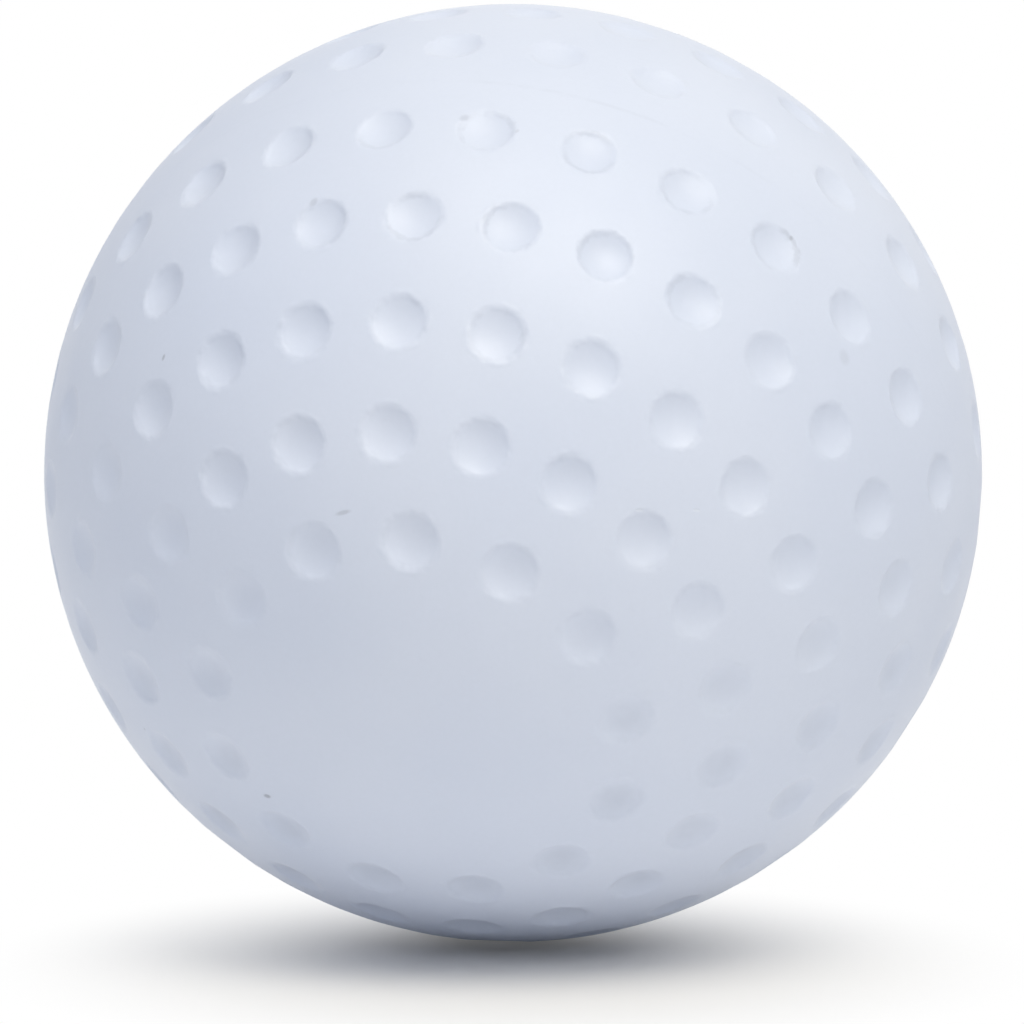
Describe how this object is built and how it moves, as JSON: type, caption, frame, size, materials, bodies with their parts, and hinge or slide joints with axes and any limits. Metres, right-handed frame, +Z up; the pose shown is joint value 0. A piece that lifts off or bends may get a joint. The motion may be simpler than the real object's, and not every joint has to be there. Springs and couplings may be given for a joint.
{
  "type": "field hockey ball",
  "caption": "Solid round field hockey ball in hard white plastic, its surface covered with rows of shallow round dimples except for a bare patch at each end of its mould axis.",
  "frame": {"origin": "the middle of the ball", "axes": "+Z up as the ball lies on the ground, -Y towards the viewer; the mould axis dips to the front and a little to the left"},
  "size_m": [0.073, 0.073, 0.073],
  "materials": {
    "ball_plastic": "hard white plastic with a faint blue cast, satin to half gloss, with a few small specks and scuffs"
  },
  "bodies": {
    "root": {"ball": "ball_plastic"}
  },
  "joints": []
}
